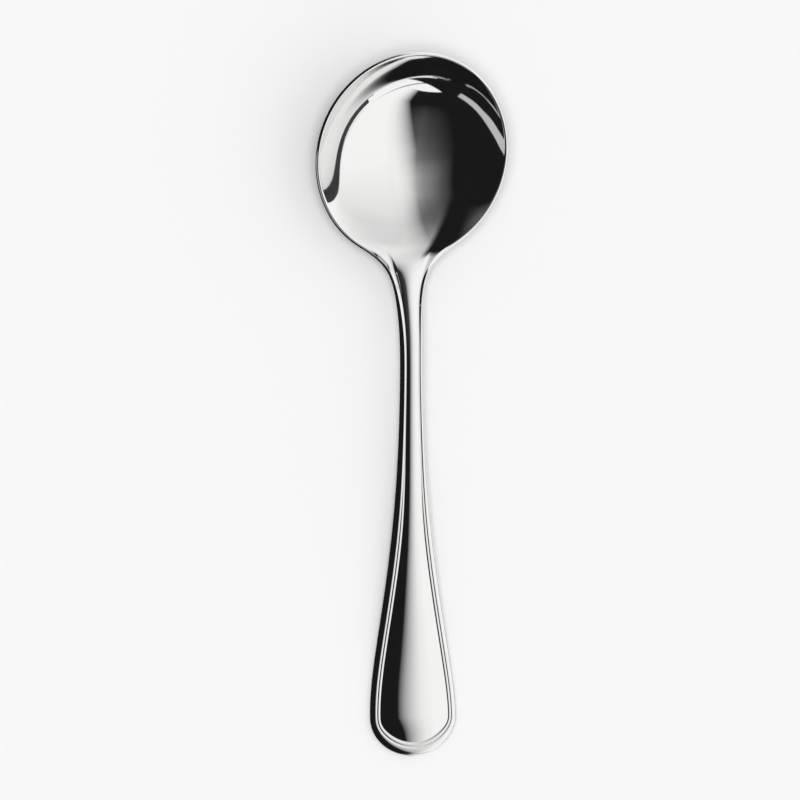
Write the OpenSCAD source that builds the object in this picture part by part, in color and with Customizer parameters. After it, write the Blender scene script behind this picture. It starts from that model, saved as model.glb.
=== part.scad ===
// Round-bowl soup spoon, forged and pressed from one piece of polished stainless steel.
// It lies on a table with its bowl up. +Y runs from the end of the handle to the tip of
// the bowl, +X across it, and Z is zero on the table.

/* [Overall] */
// Length from the end of the handle to the tip of the bowl
overall_l = 170; // [155:1:195]

/* [Bowl] */
// Width of the bowl over its rim
bowl_w = 47.8; // [42:0.2:54]
// Length of the bowl's oval over its rim
bowl_l = 50.6; // [44:0.2:58]
// Depth of the bowl below its rim
bowl_depth = 10.4; // [8:0.1:13]
// Thickness of the steel in the middle of the bowl
floor_t = 1.5; // [1.1:0.1:2.4]
// Width of the flat land round the top of the rim
rim_land = 0.8; // [0.6:0.05:1.2]
// Thickness of the rim's edge
rim_t = 0.8; // [0.6:0.05:1.2]
// Height that the rim gains from its neck side to its tip
rim_rise = 10.6; // [4:0.2:13]
// Extra lift of the rim at the very tip
tip_lift = 1; // [0:0.1:2]
// Distance from the rim to the innermost row of the bowl's wall
wall_w = 3.8; // [3:0.1:5]

/* [Neck] */
// Width of the neck at its narrowest
neck_w = 5.5; // [4.8:0.1:6.6]
// Thickness of the neck's edges
neck_t = 2.6; // [1.8:0.1:3.2]
// Length from the bowl's oval to the narrowest part of the neck
shoulder_l = 24.4; // [18:0.1:28]
// Height of the neck's top above the rim's neck side
neck_lift = 1.1; // [0:0.1:4]
// Swelling of the back where the neck runs under the bowl
heel_t = 1.5; // [0.6:0.1:2]
// Swelling of the back along the neck
neck_back_t = 0.55; // [0.3:0.05:0.8]

/* [Handle] */
// Width of the handle at its widest
handle_w = 21.6; // [18:0.1:25]
// Length of the handle's rounded end
end_l = 9.5; // [8:0.1:12]
// Thickness of the handle's edges
handle_t = 1.6; // [1.3:0.1:2.4]
// Length of the level foot under the end of the handle
foot_l = 10; // [7:0.5:16]
// Length over which the handle rises from its foot
foot_bend_l = 22; // [14:1:34]
// Height of the arch in the middle of the handle
handle_arch = 0.2; // [0:0.1:4]

/* [Border and bead] */
// Width of the rolled border along the sides of the handle's wide part
border_w = 1.6; // [1.2:0.05:2]
// Width of the rolled border at the neck
border_neck_w = 0.95; // [0.6:0.05:1.1]
// Width of the bead inside the border, along the same sides
bead_w = 0.75; // [0.6:0.05:1]
// Width of the bead at the neck
bead_neck_w = 0.33; // [0.2:0.01:0.45]
// Depth of the grooves on both sides of the bead
groove_d = 0.12; // [0.08:0.01:0.2]
// Further depth of the groove beside the panel where the neck meets the bowl
throat_d = 0.2; // [0:0.02:0.4]
// Depth of the border's rolled outer side below its crest
roll_d = 0.16; // [0.08:0.01:0.24]

/* [Hidden] */

// Half sizes, and the places of the outline's turning points along Y from the bowl's middle
bowl_a = bowl_w / 2;
bowl_b = bowl_l / 2;
neck_y = -bowl_b - shoulder_l;
end_y = bowl_b - overall_l;
widest_y = end_y + end_l;
foot_y = end_y + foot_l;
handle_run = neck_y - widest_y;

// Shape of the bowl: a round floor, and a wall that grows by a higher power. The wall is steeper
// than the floor's curve towards the tip, and less steep towards the neck.
wall_share = 0.24;
wall_neck_share = -0.26;
wall_power_share = 3;
// Share by which the bowl deepens towards its tip and grows shallower towards the neck
lean_share = 0.24;
// Angle from the tip at which the oval turns into the shoulder, and at which the tip's arc ends
shoulder_angle = 149.5;
corner_angle = 50;

// Reach of the shoulder's and the handle's side curves, as shares of the shoulder and the run
shoulder_shares = [0.42, 0.78];
side_shares = [0.55, 0.18];

// Places where one form fades into another, as shares of the shoulder from the neck to the oval
top_fade_shares = [0, 1.3];
offset_fade_shares = [0.62, 1.3];
edge_fade_shares = [0.3, 1.17];
ridge_fade_shares = [0.66, 1.16];
thread_fade_shares = [0.74, 1.12];
throat_start_shares = [0, 0.8];
depth_fade_shares = [0.6, 1.3];
wall_fade_shares = [0.8, 2.7];
heel_fade_shares = [1, 2.2];
heel_neck_shares = [0.1, 1];
// The border and the bead widen between these shares of the run from the neck to the widest place
thread_widen_shares = [0.05, 0.6];
// The bead rises out of its groove between these shares of the same run
bead_rise_shares = [0.22, 0.55];
// Further widening of both round the end
end_widen_share = 0.35;
// Crown of the handle's panel, as a share of its half width
crown_share = 0.12;
// Swelling of the panel between the deeper grooves at the bowl, as a share of their depth
throat_crown_share = 0.4;
// Bends of the rows towards the tip and the end
row_bend_share = 2.2;

// Rows and columns: end corner, handle side, shoulder, bowl side, and across
n_end = 6;
n_side = 24;
n_shoulder = 15;
n_bowl = 36;
n_across = 22;
n_along = n_end + n_side + n_shoulder + n_bowl;
n_loop = 2 * (n_along + n_across);
// Rows of the end over which the panel's crown falls
n_pillow = 1;
// Crowding of the handle's rows towards the neck
side_crowd_share = 1.3;

// Rings from the middle of the edge inwards over the top: places across the rim's land and wall,
// and across the border and the bead, each as a share. Where the neck meets the bowl the border's
// crest lies further out.
land_shares = [0, 0.19, 0.52, 1, 1, 1, 1, 1, 1];
wall_shares = [0, 0, 0, 0, 0.08, 0.2, 0.38, 0.63, 1];
border_shares = [0, 0.07, 0.28, 0.88, 1, 1, 1, 1, 1];
border_throat_shares = [0, 0.07, 0.28, 0.5, 1, 1, 1, 1, 1];
bead_shares = [0, 0, 0, 0, 0, 0.25, 0.75, 1, 1.25];
// Heights of the same rings: shares of the edge's thickness, the roll and the groove. The bead's
// top is cut down to the groove at the neck and rises along the handle. The last list deepens the
// inner groove where the neck meets the bowl.
edge_shares = [-0.5, -0.2, 0, 0, 0, 0, 0, 0, 0];
roll_shares = [0, -2, -1, 0, 0, 0, 0, 0, 0];
groove_shares = [0, 0, 0, 0, -1, -1, -1, -1, -0.35];
bead_rise_levels = [0, 0, 0, 0, 0, 0.75, 0.75, 0, 0];
throat_levels = [0, 0, 0, 0, -1, -1, -1, -1, -0.8];
top_rings = len(land_shares);
// Rings under the edge: places as shares of the border or the land, and of the bead or the wall
under_border_shares = [0.1, 0.45, 1];
under_bead_shares = [0, 0, 1.4];
under_land_shares = [0.15, 0.6, 1];
under_wall_shares = [0, 0, 1];
under_edge_shares = [0.22, 0, 0];
under_rings = len(under_border_shares);

function mix(a, b, t) = a + (b - a) * t;
function smooth(t) = t <= 0 ? 0 : t >= 1 ? 1 : t * t * t * (10 - 15 * t + 6 * t * t);
function fade(s, shares) = smooth((s - shares[0]) / (shares[1] - shares[0]));
function bezier(p, t) = let (s = 1 - t)
    s * s * s * p[0] + 3 * s * s * t * p[1] + 3 * s * t * t * p[2] + t * t * t * p[3];
function bezier_way(p, t) = let (s = 1 - t)
    3 * s * s * (p[1] - p[0]) + 6 * s * t * (p[2] - p[1]) + 3 * t * t * (p[3] - p[2]);
function unit(v) = v / norm(v);
// Ramp that leaves zero smoothly over the length k and then rises one for one
function ramp(d, k) = d <= 0 ? 0 : d >= k ? d - k / 2 : let (t = d / k) k * (t * t * t - t * t * t * t / 2);

// Share of the shoulder at y: 0 at the narrowest part of the neck, 1 where the bowl's oval begins
function shoulder_at(y) = (y - neck_y) / shoulder_l;
// Share of the handle at y: 0 at the neck, 1 where the handle is widest
function handle_at(y) = (neck_y - y) / handle_run;

// Outline: each point is [x, y, outward x, outward y]
function oval_point(t) = let (n = unit([sin(t) / bowl_a, cos(t) / bowl_b]))
    [bowl_a * sin(t), bowl_b * cos(t), n[0], n[1]];
function end_point(t) = let (n = unit([sin(t) / (handle_w / 2), -cos(t) / end_l]))
    [handle_w / 2 * sin(t), widest_y - end_l * cos(t), n[0], n[1]];
function curve_point(p, t) = let (q = bezier(p, t), n = unit(bezier_way(p, t)))
    [q[0], q[1], n[1], -n[0]];

side_curve = [
    [handle_w / 2, widest_y],
    [handle_w / 2, widest_y + side_shares[1] * handle_run],
    [neck_w / 2, neck_y - side_shares[0] * handle_run],
    [neck_w / 2, neck_y]
];
shoulder_start = [bowl_a * sin(shoulder_angle), bowl_b * cos(shoulder_angle)];
shoulder_way = unit([bowl_a * cos(shoulder_angle), -bowl_b * sin(shoulder_angle)]);
shoulder_curve = [
    [neck_w / 2, neck_y],
    [neck_w / 2, neck_y + shoulder_shares[1] * shoulder_l],
    shoulder_start + shoulder_shares[0] * shoulder_l * shoulder_way,
    shoulder_start
];

right_side = [
    for (j = [0:n_end - 1]) end_point(mix(corner_angle, 90, j / n_end)),
    for (j = [0:n_side - 1]) curve_point(side_curve, 1 - pow(1 - j / n_side, side_crowd_share)),
    for (j = [0:n_shoulder - 1]) curve_point(shoulder_curve, j / n_shoulder),
    for (j = [0:n_bowl]) oval_point(mix(shoulder_angle, corner_angle, j / n_bowl))
];
outline = [
    each right_side,
    for (i = [1:n_across - 1]) oval_point(mix(corner_angle, -corner_angle, i / n_across)),
    for (j = [n_along:-1:0]) let (p = right_side[j]) [-p[0], p[1], -p[2], p[3]],
    for (i = [1:n_across - 1]) end_point(mix(-corner_angle, corner_angle, i / n_across))
];

// Widths of the border, the bead and the shoulder beside the panel along the handle
function end_widening(y) = 1 + end_widen_share * smooth((widest_y - y) / end_l);
function border_at(y) =
    mix(border_neck_w, border_w, fade(handle_at(y), thread_widen_shares)) * end_widening(y);
function bead_at(y) =
    mix(bead_neck_w, bead_w, fade(handle_at(y), thread_widen_shares)) * end_widening(y);

// Full grooves of the handle fade to none in the bowl, and the inner one is deeper just before it
function thread_at(y) = 1 - fade(shoulder_at(y), thread_fade_shares);
function throat_at(y) = throat_d * fade(shoulder_at(y), throat_start_shares) * thread_at(y);
function bead_rise_at(y) = fade(handle_at(y), bead_rise_shares);

// Ring of the outline moved inwards by border, bead, land and wall shares: points are [x, y]
function ring_xy(border_share, throat_share, bead_share, land_share, wall_share) = [
    for (p = outline)
        let (
            share = mix(border_share, throat_share, fade(shoulder_at(p[1]), throat_start_shares)),
            handle = share * border_at(p[1]) + bead_share * bead_at(p[1]),
            bowl = land_share * rim_land + wall_share * (wall_w - rim_land),
            d = mix(handle, bowl, fade(shoulder_at(p[1]), offset_fade_shares))
        )
        [p[0] - d * p[2], p[1] - d * p[3]]
];

// Rows of a grid that fills a ring: the first row is the end's arc and the last is the tip's arc
function bend_at(j) =
    j > n_along - n_bowl ? pow((j - n_along + n_bowl) / n_bowl, row_bend_share)
    : j < n_end + n_pillow ? pow((n_end + n_pillow - j) / (n_end + n_pillow), row_bend_share)
    : 0;
function row(ring, j) =
    let (
        right = ring[j],
        tip = j > n_along / 2,
        corner = ring[tip ? n_along : 0],
        middle = ring[tip ? n_along + n_across / 2 : n_loop - n_across / 2],
        centre_y = right[1] + (middle[1] - corner[1]) * bend_at(j)
    )
    [
        for (i = [0:n_across])
            let (u = 1 - 2 * i / n_across, a = corner_angle * u)
            [
                right[0] * sin(a) / sin(corner_angle),
                mix(centre_y, right[1], (1 - cos(a)) / (1 - cos(corner_angle))),
                sin(a) / sin(corner_angle)
            ]
    ];

// Side view: height of the top of the rim and of the handle's border
function rim_line(y) = rim_rise * y / bowl_l + tip_lift * pow(max(0, y / bowl_b), 3);
function handle_line(y, rim_z) =
    let (
        neck_z = rim_z + rim_line(-bowl_b) + neck_lift,
        full = ramp(neck_y - foot_y, foot_bend_l),
        u = max(0, min(1, (y - foot_y) / (neck_y - foot_y)))
    )
    handle_t + (neck_z - handle_t) * ramp(y - foot_y, foot_bend_l) / full
    + handle_arch * pow(4 * u * (1 - u), 3);
function top_line(y, rim_z) =
    mix(handle_line(y, rim_z), rim_z + rim_line(y), fade(shoulder_at(y), top_fade_shares));
function edge_at(y) =
    mix(mix(neck_t, handle_t, smooth(handle_at(y))), rim_t, fade(shoulder_at(y), edge_fade_shares));
function back_at(y) =
    shoulder_at(y) > heel_fade_shares[0]
    ? heel_t * (1 - fade(shoulder_at(y), heel_fade_shares))
    : mix(neck_back_t * (1 - smooth(handle_at(y))), heel_t, fade(shoulder_at(y), heel_neck_shares));

// Hollow of the bowl at [x, y], for an oval that is smaller than the outline by d all round
function hollow(x, y, d) =
    let (
        r = pow(x / (bowl_a - d), 2) + pow(y / (bowl_b - d), 2),
        wall = mix(wall_neck_share, wall_share, fade(shoulder_at(y), wall_fade_shares))
    )
    (1 - (1 - wall) * r - wall * pow(r, wall_power_share)) * (1 + lean_share * y / bowl_b)
    * fade(shoulder_at(y), depth_fade_shares);

function top_z(x, y, rim_z) = top_line(y, rim_z) - bowl_depth * hollow(x, y, rim_land);
function under_z(x, y, u, rim_z) =
    top_line(y, rim_z) - edge_at(y) - (bowl_depth + floor_t - rim_t) * hollow(x, y, 0)
    - back_at(y) * pow(1 - u * u, 2);

// The rim's height brings the lowest point of the bowl's back to the table
function under_flat(k) =
    ring_xy(under_border_shares[k], under_border_shares[k], under_bead_shares[k],
        under_land_shares[k], under_wall_shares[k]);
under_ring = under_flat(under_rings - 1);
under_rows = [for (j = [0:n_along]) row(under_ring, j)];
rim_z = -min([
    for (j = [n_along - n_bowl:n_along])
        for (p = under_rows[j])
            if (p[1] > neck_y / 2) under_z(p[0], p[1], p[2], 0)
]);

// Rings over the top and under the edge: points are [x, y, z]
function top_flat(k) =
    ring_xy(border_shares[k], border_throat_shares[k], bead_shares[k],
        land_shares[k], wall_shares[k]);
function top_ring(k) =
    let (flat = top_flat(k))
    [
        for (q = [0:n_loop - 1])
            let (
                p = flat[q],
                y = outline[q][1],
                groove = groove_d * (groove_shares[k] + bead_rise_levels[k] * bead_rise_at(y)),
                base = wall_shares[k] > 0 ? top_z(p[0], p[1], rim_z) : top_line(p[1], rim_z)
            )
            [
                p[0],
                p[1],
                base + edge_shares[k] * edge_at(y) + throat_levels[k] * throat_at(y)
                + thread_at(y) * (roll_shares[k] * roll_d + groove)
            ]
    ];
function under_ring_points(k) =
    let (flat = under_flat(k))
    [
        for (q = [0:n_loop - 1])
            let (p = flat[q])
            [
                p[0],
                p[1],
                under_z(p[0], p[1], 1, rim_z) + under_edge_shares[k] * edge_at(p[1])
            ]
    ];

// Inner points of the top and the back: rows between the arcs, and columns between the sides
inner_ring = top_flat(top_rings - 1);
top_inner = [
    for (j = [1:n_along - 1])
        let (
            points = row(inner_ring, j),
            pillow = 1 - pow(max(0, 1 - j / (n_end + n_pillow)), 3)
        )
        for (i = [1:n_across - 1])
            let (
                p = points[i],
                k = top_rings - 1,
                ridge = 1 - fade(shoulder_at(p[1]), ridge_fade_shares),
                round = (1 - p[2] * p[2]) * pillow,
                crown = crown_share * inner_ring[j][0] * ridge + throat_crown_share * throat_at(p[1])
            )
            [
                p[0],
                p[1],
                top_z(p[0], p[1], rim_z) + crown * round
                + throat_levels[k] * throat_at(p[1])
                + thread_at(p[1]) * groove_shares[k] * groove_d
            ]
];
under_inner = [
    for (j = [1:n_along - 1])
        for (i = [1:n_across - 1])
            let (p = under_rows[j][i])
            [p[0], p[1], under_z(p[0], p[1], p[2], rim_z)]
];

// Mesh: rings from the back's innermost over the edge to the top's innermost, then the two grids
n_rings = under_rings + top_rings;
ring_points = [
    for (k = [under_rings - 1:-1:0]) each under_ring_points(k),
    for (k = [0:top_rings - 1]) each top_ring(k)
];
spoon_points = [each ring_points, each top_inner, each under_inner];

function two(a, b, c, d) = [[a, b, c], [a, c, d]];
function ring_index(k, q) = k * n_loop + q % n_loop;
// Index of a grid's corner: on the ring for the outer ones, among the inner points for the others
function grid_index(k, first, j, i) =
    i == 0 ? ring_index(k, j)
    : i == n_across ? ring_index(k, 2 * n_along + n_across - j)
    : j == n_along ? ring_index(k, n_along + i)
    : j == 0 ? ring_index(k, n_loop - i)
    : first + (j - 1) * (n_across - 1) + i - 1;
top_first = n_rings * n_loop;
under_first = top_first + len(top_inner);

spoon_faces = [
    for (k = [0:n_rings - 2])
        for (q = [0:n_loop - 1])
            each two(ring_index(k, q), ring_index(k + 1, q),
                ring_index(k + 1, q + 1), ring_index(k, q + 1)),
    for (j = [0:n_along - 1])
        for (i = [0:n_across - 1])
            let (k = n_rings - 1, f = top_first)
            each two(grid_index(k, f, j, i), grid_index(k, f, j, i + 1),
                grid_index(k, f, j + 1, i + 1), grid_index(k, f, j + 1, i)),
    for (j = [0:n_along - 1])
        for (i = [0:n_across - 1])
            let (f = under_first)
            each two(grid_index(0, f, j, i), grid_index(0, f, j + 1, i),
                grid_index(0, f, j + 1, i + 1), grid_index(0, f, j, i + 1))
];

// The whole spoon, with the middle of its length over the origin
module spoon() {
    color("silver")
        translate([0, overall_l / 2 - bowl_b, 0])
            polyhedron(points = spoon_points, faces = spoon_faces, convexity = 6);
}

spoon();
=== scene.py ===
import math

import bpy
from mathutils import Matrix, Vector


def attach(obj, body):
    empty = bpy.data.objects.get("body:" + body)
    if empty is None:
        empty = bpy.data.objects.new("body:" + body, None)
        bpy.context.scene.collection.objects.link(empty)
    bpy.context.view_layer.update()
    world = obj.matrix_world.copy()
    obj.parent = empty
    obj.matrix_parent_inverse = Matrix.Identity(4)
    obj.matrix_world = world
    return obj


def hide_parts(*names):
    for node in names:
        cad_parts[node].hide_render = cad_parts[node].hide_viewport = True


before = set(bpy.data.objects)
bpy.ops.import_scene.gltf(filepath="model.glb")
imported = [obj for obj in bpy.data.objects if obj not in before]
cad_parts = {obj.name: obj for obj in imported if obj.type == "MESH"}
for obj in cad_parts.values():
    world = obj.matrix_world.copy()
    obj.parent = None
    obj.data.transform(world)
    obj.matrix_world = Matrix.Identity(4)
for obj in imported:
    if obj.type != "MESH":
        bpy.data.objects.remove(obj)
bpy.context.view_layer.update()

# Camera: it leans to the spoon's left and a little towards the tip, with a long lens
CAMERA_LEAN_LEFT = 0.2764
CAMERA_LEAN_TIP = 0.1014
CAMERA_ROLL = -0.0248
CAMERA_DISTANCE = 6.0
CAMERA_REACH = 100.0
SENSOR_WIDTH = 36.0
PHOTO_WIDTH = 800.0
PIXELS_PER_METRE = 4191.6
# Pixel of the photograph at which the middle of the spoon's length meets the table
PHOTO_ORIGIN = (404.6, 401.2)

# Steel: clean and hazed, with the least and most roughness over the middle range of the noise
STEEL_COLOUR = (0.86, 0.86, 0.855)
STEEL_ROUGHNESS = (0.025, 0.06)
NOISE_RANGE = (0.3, 0.7)
HAZE_COLOUR = (0.84, 0.84, 0.83)
HAZE_SCALE = 120.0
HAZE_DETAIL = 4.0
# Hairlines, fine across the spoon and long along it, and their share of the roughness
HAIRLINE_SCALE = (9000.0, 350.0, 9000.0)
HAIRLINE_DETAIL = 3.0
HAIRLINE_SHARE = 0.6
HAIRLINE_STRENGTH = 0.12
HAIRLINE_DEPTH = 0.000004
# The two colour inputs and the colour output of the mix node
MIX_CLEAN, MIX_HAZED, MIX_RESULT = 6, 7, 2

# Smoothing of the spoon: how far apart corners merge, how triangles pair into quads, in degrees,
# how much they follow the quads beside them, and how often the mesh is divided
MERGE_DISTANCE = 1e-6
QUAD_FACE_ANGLE = 60
QUAD_SHAPE_ANGLE = 90
QUAD_FLOW = 2.0
SMOOTH_LEVELS = 2

# White table, a hair below the spoon so that they don't meet
FLOOR_SIZE = 6.0
FLOOR_HEIGHT = -0.0001
FLOOR_COLOUR = (0.95, 0.95, 0.95, 1.0)

# White room: what the camera and the steel see, what lights the table, and a soft sun
WORLD_LIGHT = 1.05
FILL_LIGHT = 0.5
SUN_LIGHT = 1.6
SUN_ANGLE = 25.0

# The cards are seen only in the steel. All their places and lights are fitted to the photograph's
# reflections, and two of them hover over the bowl, where a real studio could hold none
CARD_BLACK = 0.0113
CARD_LIFT = 0.0002
# Black card on the spoon's left: flat on the table from its start out to its radius, then up in an
# arc round the spoon's length, in degrees from the zenith, and its ends along the spoon
CARD_START = 0.0
CARD_RADIUS = 0.6
CARD_ARC = (-90.0, 66.0)
CARD_ENDS = (-1.9, 1.5)
CARD_STEPS = 64
# The fade, in degrees from the zenith towards the spoon's right, each with its light
FADE_STEPS = [(1.0, CARD_BLACK), (1.9, 0.08), (3.7, 0.2), (7.6, 0.44), (11.5, 0.62),
              (15.4, 0.78), (21.1, 0.95), (31.0, WORLD_LIGHT)]
# Towards the handle the card's fade bends to the spoon's right: the y where that starts, the y
# where it is full, and its degrees
BEND = (-0.13, -0.95, 21.0)
# Black card standing beyond the handle's end: its left, its right, its right at the top, y, height
END_CARD = (-0.6, 0.08, -0.04, -0.2, 0.08)
# Black card standing low along the spoon's right: x, half its length, height
LOW_CARD = (0.8, 1.0, 0.035)
# Dark grey card standing to the spoon's right: x, then y and height of its near and far ends
SIDE_LIGHT = 0.05
SIDE_CARD = (0.79, (-0.85, 0.15), (0.15, 0.17))
# Pale strip that hangs round the bowl from its left to the neck: its middle, then its radius, and
# for both of its ends the angle in degrees from +X, the bottom and the top
STRIP_MIDDLE = (0.0, 0.06)
STRIP_STEPS = 24
WHITE_STRIP = (0.034, (-176.0, 0.0145, 0.0245), (-100.0, 0.0155, 0.0195))
WHITE_STRIP_LIGHT = 0.55
# Dim light above the bowl: its height, its light at places across, and its share at places along
DIM_HEIGHT = 0.05
DIM_ACROSS = [(-0.016, 0.0), (-0.009, 0.1), (-0.0045, 0.2), (0.0, 0.29), (0.0045, 0.45),
              (0.009, 0.36), (0.014, 0.2), (0.02, 0.05), (0.025, 0.0)]
DIM_ALONG = [(0.0, 0.0), (0.012, 0.07), (0.025, 0.14), (0.036, 0.19), (0.045, 0.33),
             (0.049, 0.45), (0.053, 0.75), (0.058, 1.0), (0.068, 1.0), (0.075, 0.55),
             (0.079, 0.2), (0.084, 0.0)]
# Black shade low over the bowl near the neck: its corners, its height at the spoon's middle, how
# steeply it rises along X and falls along Y, how far its dark edge leans, where that starts and is
# full across, where the shade ends and is full on its other side, and its share at places along
SHADE_REACH = ((-0.02, 0.034), (0.017, 0.034), (0.017, 0.057), (-0.02, 0.057))
SHADE_HEIGHT = 0.0175
SHADE_RISE = 0.12
SHADE_FALL = 0.13
SHADE_LEAN = 0.17
SHADE_X = (-0.0023, -0.0004)
SHADE_END = (0.0165, 0.0105)
SHADE_Y = [(0.034, 0.0), (0.0365, 1.0), (0.0505, 1.0), (0.0565, 0.0)]
# Faint part of the shade: where it starts and is full across, and its share at places along
FAINT_X = (-0.02, 0.0)
FAINT_Y = [(0.034, 0.0), (0.042, 0.28), (0.048, 0.26), (0.056, 0.0)]


def new_material(name):
    """Start a material with nothing in it but its output."""
    material = bpy.data.materials.new(name)
    material.use_nodes = True
    material.node_tree.nodes.clear()
    return material


def add_node(material, kind, **settings):
    """Add a node to a material, or to the world, and set its plain attributes."""
    node = material.node_tree.nodes.new(kind)
    for key, value in settings.items():
        setattr(node, key, value)
    return node


def add_slope(material, value, start, full):
    """Soft step of a value from nothing at the start to one where it is full."""
    step = add_node(material, "ShaderNodeMapRange", interpolation_type="SMOOTHSTEP")
    step.inputs["From Min"].default_value = start
    step.inputs["From Max"].default_value = full
    material.node_tree.links.new(value, step.inputs["Value"])
    return step.outputs["Result"]


def add_math(material, operation, *values):
    """One step of arithmetic on sockets and plain numbers."""
    node = add_node(material, "ShaderNodeMath", operation=operation)
    for socket, value in zip(node.inputs, values):
        if isinstance(value, float):
            socket.default_value = value
        else:
            material.node_tree.links.new(value, socket)
    return node.outputs["Value"]


def add_ramp(material, value, steps):
    """Grey level that follows steps of a value, each a place and its level."""
    start, stop = steps[0][0], steps[-1][0]
    span = add_node(material, "ShaderNodeMapRange")
    span.inputs["From Min"].default_value = start
    span.inputs["From Max"].default_value = stop
    material.node_tree.links.new(value, span.inputs["Value"])
    levels = add_node(material, "ShaderNodeValToRGB")
    ramp = levels.color_ramp
    ramp.elements.remove(ramp.elements[1])
    for i, (place, level) in enumerate(steps):
        share = (place - start) / (stop - start)
        element = ramp.elements.new(share) if i else ramp.elements[0]
        element.position = share
        element.color = (level, level, level, 1.0)
    material.node_tree.links.new(span.outputs["Result"], levels.inputs["Fac"])
    return levels.outputs["Color"]


def make_polished_steel():
    """Mirror-polished steel with the faint haze and hairlines that a polishing wheel leaves."""
    steel = new_material("polished_steel")
    links = steel.node_tree.links
    place = add_node(steel, "ShaderNodeTexCoord")
    # Hairlines run along the spoon, so their noise is stretched along Y
    stretch = add_node(steel, "ShaderNodeMapping")
    stretch.inputs["Scale"].default_value = HAIRLINE_SCALE
    hairlines = add_node(steel, "ShaderNodeTexNoise")
    hairlines.inputs["Scale"].default_value = 1.0
    hairlines.inputs["Detail"].default_value = HAIRLINE_DETAIL
    links.new(place.outputs["Object"], stretch.inputs["Vector"])
    links.new(stretch.outputs["Vector"], hairlines.inputs["Vector"])
    # Haze of wiping and use, in soft patches
    haze = add_node(steel, "ShaderNodeTexNoise")
    haze.inputs["Scale"].default_value = HAZE_SCALE
    haze.inputs["Detail"].default_value = HAZE_DETAIL
    links.new(place.outputs["Object"], haze.inputs["Vector"])
    roughness = add_node(steel, "ShaderNodeMapRange")
    roughness.inputs["From Min"].default_value = NOISE_RANGE[0]
    roughness.inputs["From Max"].default_value = NOISE_RANGE[1]
    roughness.inputs["To Min"].default_value = STEEL_ROUGHNESS[0]
    roughness.inputs["To Max"].default_value = STEEL_ROUGHNESS[1]
    both = add_math(steel, "MULTIPLY_ADD", hairlines.outputs["Fac"], HAIRLINE_SHARE,
                    haze.outputs["Fac"])
    mixed = add_math(steel, "DIVIDE", both, 1.0 + HAIRLINE_SHARE)
    links.new(mixed, roughness.inputs["Value"])
    tint = add_node(steel, "ShaderNodeMix", data_type="RGBA")
    tint.inputs[MIX_CLEAN].default_value = (*STEEL_COLOUR, 1.0)
    tint.inputs[MIX_HAZED].default_value = (*HAZE_COLOUR, 1.0)
    links.new(haze.outputs["Fac"], tint.inputs["Factor"])
    bump = add_node(steel, "ShaderNodeBump")
    bump.inputs["Strength"].default_value = HAIRLINE_STRENGTH
    bump.inputs["Distance"].default_value = HAIRLINE_DEPTH
    links.new(hairlines.outputs["Fac"], bump.inputs["Height"])
    surface = add_node(steel, "ShaderNodeBsdfPrincipled")
    surface.inputs["Metallic"].default_value = 1.0
    output = add_node(steel, "ShaderNodeOutputMaterial")
    links.new(tint.outputs[MIX_RESULT], surface.inputs["Base Color"])
    links.new(roughness.outputs["Result"], surface.inputs["Roughness"])
    links.new(bump.outputs["Normal"], surface.inputs["Normal"])
    links.new(surface.outputs["BSDF"], output.inputs["Surface"])
    return steel


def select_only(obj):
    """Deselect everything, then select one object and make it active."""
    bpy.ops.object.select_all(action="DESELECT")
    obj.select_set(True)
    bpy.context.view_layer.objects.active = obj


def make_spoon(steel):
    """Finish a copy of the solid spoon: merge its corners, recover the quads, smooth it."""
    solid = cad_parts["spoon"]
    select_only(solid)
    bpy.ops.object.duplicate()
    spoon = bpy.context.active_object
    spoon.name = "polished_spoon"
    bpy.ops.object.mode_set(mode="EDIT")
    bpy.ops.mesh.select_all(action="SELECT")
    bpy.ops.mesh.remove_doubles(threshold=MERGE_DISTANCE)
    bpy.ops.mesh.tris_convert_to_quads(face_threshold=math.radians(QUAD_FACE_ANGLE),
                                       shape_threshold=math.radians(QUAD_SHAPE_ANGLE),
                                       topology_influence=QUAD_FLOW)
    bpy.ops.object.mode_set(mode="OBJECT")
    smooth = spoon.modifiers.new("smooth", "SUBSURF")
    smooth.levels = SMOOTH_LEVELS
    smooth.render_levels = SMOOTH_LEVELS
    bpy.ops.object.modifier_apply(modifier=smooth.name)
    bpy.ops.object.shade_smooth()
    spoon.data.materials.clear()
    spoon.data.materials.append(steel)
    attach(spoon, "root")
    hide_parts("spoon")


def make_camera():
    """Place the camera so that the spoon lies in the frame as it does in the photograph."""
    away = Vector((-math.tan(CAMERA_LEAN_LEFT), math.tan(CAMERA_LEAN_TIP), 1.0)).normalized()
    up = Vector((0.0, 1.0, 0.0))
    up = (up - away * up.dot(away)).normalized()
    right = up.cross(away)
    cosine, sine = math.cos(CAMERA_ROLL), math.sin(CAMERA_ROLL)
    right, up = cosine * right + sine * up, -sine * right + cosine * up
    offset_x = (PHOTO_WIDTH / 2 - PHOTO_ORIGIN[0]) / PIXELS_PER_METRE
    offset_y = (PHOTO_ORIGIN[1] - PHOTO_WIDTH / 2) / PIXELS_PER_METRE
    aim = right * offset_x + up * offset_y
    camera_data = bpy.data.cameras.new("camera")
    camera_data.sensor_width = SENSOR_WIDTH
    camera_data.lens = SENSOR_WIDTH * CAMERA_DISTANCE * PIXELS_PER_METRE / PHOTO_WIDTH
    camera_data.clip_end = CAMERA_REACH
    camera = bpy.data.objects.new("camera", camera_data)
    bpy.context.collection.objects.link(camera)
    turn = Matrix((right, up, away)).transposed().to_4x4()
    camera.matrix_world = Matrix.Translation(aim + away * CAMERA_DISTANCE) @ turn
    bpy.context.scene.camera = camera


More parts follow.
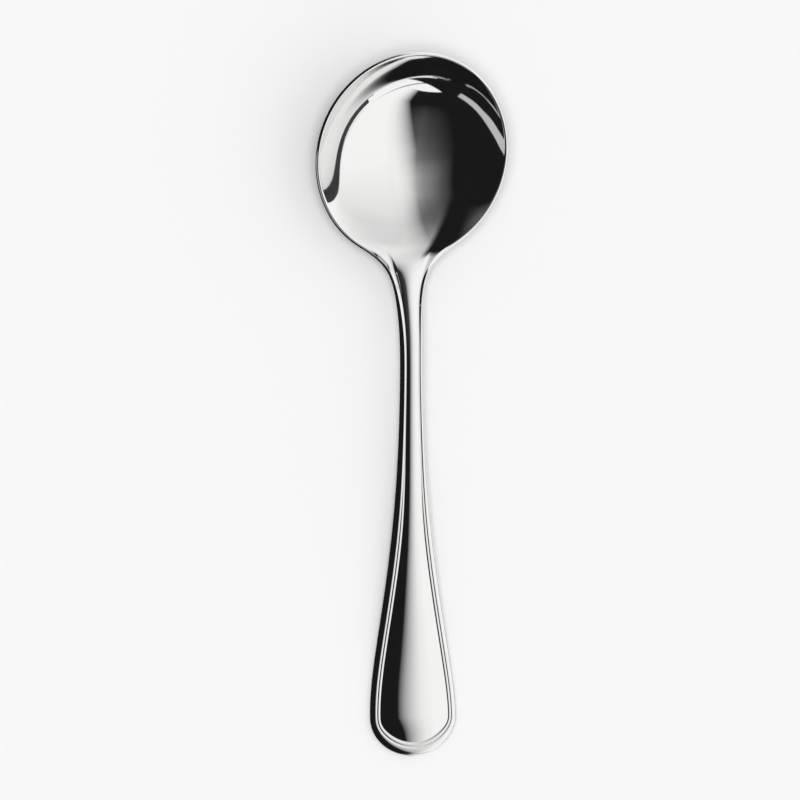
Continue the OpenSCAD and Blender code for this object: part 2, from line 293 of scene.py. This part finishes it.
def make_floor():
    """White table under the spoon."""
    bpy.ops.mesh.primitive_plane_add(size=FLOOR_SIZE, location=(0, 0, FLOOR_HEIGHT))
    floor = bpy.context.active_object
    floor.name = "floor"
    material = new_material("white_table")
    links = material.node_tree.links
    surface = add_node(material, "ShaderNodeBsdfDiffuse")
    surface.inputs["Color"].default_value = FLOOR_COLOUR
    output = add_node(material, "ShaderNodeOutputMaterial")
    links.new(surface.outputs["BSDF"], output.inputs["Surface"])
    floor.data.materials.append(material)


def make_card(name, verts, faces, material):
    """Sheet of card that is seen only in the steel."""
    mesh = bpy.data.meshes.new(name)
    mesh.from_pydata(verts, [], faces)
    mesh.materials.append(material)
    card = bpy.data.objects.new(name, mesh)
    bpy.context.collection.objects.link(card)
    card.visible_camera = False
    card.visible_diffuse = False
    card.visible_shadow = False


def make_strip(name, shape, material):
    """Upright strip of card round a part of the bowl."""
    radius, start, stop = shape
    verts = []
    for i in range(STRIP_STEPS + 1):
        angle, bottom, top = (a + (b - a) * i / STRIP_STEPS for a, b in zip(start, stop))
        angle = math.radians(angle)
        x = STRIP_MIDDLE[0] + radius * math.cos(angle)
        y = STRIP_MIDDLE[1] + radius * math.sin(angle)
        verts += [(x, y, bottom), (x, y, top)]
    faces = [(2 * i, 2 * i + 1, 2 * i + 3, 2 * i + 2) for i in range(STRIP_STEPS)]
    make_card(name, verts, faces, material)


def make_plain_card_material(name, light):
    """Card of one even light."""
    material = new_material(name)
    surface = add_node(material, "ShaderNodeEmission")
    surface.inputs["Strength"].default_value = light
    output = add_node(material, "ShaderNodeOutputMaterial")
    material.node_tree.links.new(surface.outputs["Emission"], output.inputs["Surface"])
    return material


def make_black_card_material():
    """Black that fades to white past the zenith, by the angle round the spoon's length."""
    material = new_material("black_card")
    links = material.node_tree.links
    place = add_node(material, "ShaderNodeTexCoord")
    parts = add_node(material, "ShaderNodeSeparateXYZ")
    links.new(place.outputs["Object"], parts.inputs["Vector"])
    angle = add_math(material, "ARCTAN2", parts.outputs["X"], parts.outputs["Z"])
    bend = add_node(material, "ShaderNodeMapRange")
    bend.inputs["From Min"].default_value = BEND[1]
    bend.inputs["From Max"].default_value = BEND[0]
    bend.inputs["To Min"].default_value = -math.radians(BEND[2])
    bend.inputs["To Max"].default_value = 0.0
    links.new(parts.outputs["Y"], bend.inputs["Value"])
    bent = add_math(material, "ADD", angle, bend.outputs["Result"])
    steps = [(math.radians(degrees), level) for degrees, level in FADE_STEPS]
    surface = add_node(material, "ShaderNodeEmission")
    output = add_node(material, "ShaderNodeOutputMaterial")
    links.new(add_ramp(material, bent, steps), surface.inputs["Color"])
    links.new(surface.outputs["Emission"], output.inputs["Surface"])
    return material


def make_dim_light_material():
    """Dim grey light that fades out towards the card's edges and adds to what is behind it."""
    material = new_material("dim_light")
    links = material.node_tree.links
    place = add_node(material, "ShaderNodeTexCoord")
    parts = add_node(material, "ShaderNodeSeparateXYZ")
    links.new(place.outputs["Object"], parts.inputs["Vector"])
    across = add_ramp(material, parts.outputs["X"], DIM_ACROSS)
    along = add_ramp(material, parts.outputs["Y"], DIM_ALONG)
    level = add_math(material, "MULTIPLY", across, along)
    clear = add_node(material, "ShaderNodeBsdfTransparent")
    surface = add_node(material, "ShaderNodeEmission")
    blend = add_node(material, "ShaderNodeAddShader")
    output = add_node(material, "ShaderNodeOutputMaterial")
    links.new(level, surface.inputs["Strength"])
    links.new(clear.outputs["BSDF"], blend.inputs[0])
    links.new(surface.outputs["Emission"], blend.inputs[1])
    links.new(blend.outputs["Shader"], output.inputs["Surface"])
    return material


def make_shade_material():
    """Black that begins softly, so that the reflections near the neck dim before they stop."""
    material = new_material("soft_shade")
    links = material.node_tree.links
    place = add_node(material, "ShaderNodeTexCoord")
    parts = add_node(material, "ShaderNodeSeparateXYZ")
    links.new(place.outputs["Object"], parts.inputs["Vector"])
    lean = add_math(material, "MULTIPLY_ADD", parts.outputs["Y"], -SHADE_LEAN, parts.outputs["X"])
    across = add_slope(material, lean, *SHADE_X)
    along = add_ramp(material, parts.outputs["Y"], SHADE_Y)
    full = add_math(material, "MULTIPLY", across, along)
    faint = add_math(material, "MULTIPLY", add_slope(material, parts.outputs["X"], *FAINT_X),
                     add_ramp(material, parts.outputs["Y"], FAINT_Y))
    both = add_math(material, "MAXIMUM", full, faint)
    end = add_slope(material, parts.outputs["X"], *SHADE_END)
    share = add_math(material, "MULTIPLY", both, end)
    clear = add_node(material, "ShaderNodeBsdfTransparent")
    surface = add_node(material, "ShaderNodeEmission")
    surface.inputs["Strength"].default_value = CARD_BLACK
    blend = add_node(material, "ShaderNodeMixShader")
    output = add_node(material, "ShaderNodeOutputMaterial")
    links.new(share, blend.inputs["Fac"])
    links.new(clear.outputs["BSDF"], blend.inputs[1])
    links.new(surface.outputs["Emission"], blend.inputs[2])
    links.new(blend.outputs["Shader"], output.inputs["Surface"])
    return material


def make_cards():
    """Black card over the spoon's left, cards round it, a dim light and a shade over the bowl."""
    black = make_black_card_material()
    profile = [(CARD_START, CARD_LIFT)]
    for i in range(CARD_STEPS + 1):
        angle = math.radians(CARD_ARC[0] + (CARD_ARC[1] - CARD_ARC[0]) * i / CARD_STEPS)
        profile.append((CARD_RADIUS * math.sin(angle), CARD_RADIUS * math.cos(angle) + CARD_LIFT))
    verts = [(x, y, z) for x, z in profile for y in CARD_ENDS]
    faces = [(2 * i, 2 * i + 1, 2 * i + 3, 2 * i + 2) for i in range(len(profile) - 1)]
    make_card("black_card", verts, faces, black)
    low = make_plain_card_material("low_card", CARD_BLACK)
    left, right, right_top, y, height = END_CARD
    verts = [(left, y, CARD_LIFT), (right, y, CARD_LIFT), (right_top, y, height), (left, y, height)]
    make_card("end_card", verts, [(0, 1, 2, 3)], low)
    x, half, height = LOW_CARD
    verts = [(x, -half, CARD_LIFT), (x, half, CARD_LIFT), (x, half, height), (x, -half, height)]
    make_card("low_card", verts, [(0, 1, 2, 3)], low)
    x, near, far = SIDE_CARD
    verts = [(x, near[0], CARD_LIFT), (x, far[0], CARD_LIFT), (x, *far), (x, *near)]
    make_card("side_card", verts, [(0, 1, 2, 3)],
              make_plain_card_material("side_card", SIDE_LIGHT))
    make_strip("white_strip", WHITE_STRIP,
               make_plain_card_material("white_strip", WHITE_STRIP_LIGHT))
    left, right = DIM_ACROSS[0][0], DIM_ACROSS[-1][0]
    near, far = DIM_ALONG[0][0], DIM_ALONG[-1][0]
    corners = ((left, near), (right, near), (right, far), (left, far))
    make_card("dim_light", [(x, y, DIM_HEIGHT) for x, y in corners], [(0, 1, 2, 3)],
              make_dim_light_material())
    verts = [(x, y, SHADE_HEIGHT + SHADE_RISE * x - SHADE_FALL * y) for x, y in SHADE_REACH]
    make_card("soft_shade", verts, [(0, 1, 2, 3)], make_shade_material())


def make_light():
    """White room light, and a soft sun from the camera's side that hides its own shadow."""
    world = bpy.data.worlds.new("studio")
    bpy.context.scene.world = world
    world.use_nodes = True
    links = world.node_tree.links
    background = world.node_tree.nodes["Background"]
    background.inputs["Color"].default_value = (1.0, 1.0, 1.0, 1.0)
    path = add_node(world, "ShaderNodeLightPath")
    seen = add_math(world, "MAXIMUM", path.outputs["Is Camera Ray"], path.outputs["Is Glossy Ray"])
    through = add_math(world, "MAXIMUM", seen, path.outputs["Is Transmission Ray"])
    level = add_node(world, "ShaderNodeMapRange")
    level.inputs["To Min"].default_value = FILL_LIGHT
    level.inputs["To Max"].default_value = WORLD_LIGHT
    links.new(through, level.inputs["Value"])
    links.new(level.outputs["Result"], background.inputs["Strength"])
    sun_data = bpy.data.lights.new("soft_sun", "SUN")
    sun_data.energy = SUN_LIGHT
    sun_data.angle = math.radians(SUN_ANGLE)
    sun = bpy.data.objects.new("soft_sun", sun_data)
    bpy.context.collection.objects.link(sun)
    sun.rotation_euler = bpy.context.scene.camera.matrix_world.to_euler()
    sun.visible_glossy = False


bpy.context.scene.view_settings.view_transform = "Standard"
polished_steel = make_polished_steel()
make_camera()
make_spoon(polished_steel)
make_floor()
make_cards()
make_light()
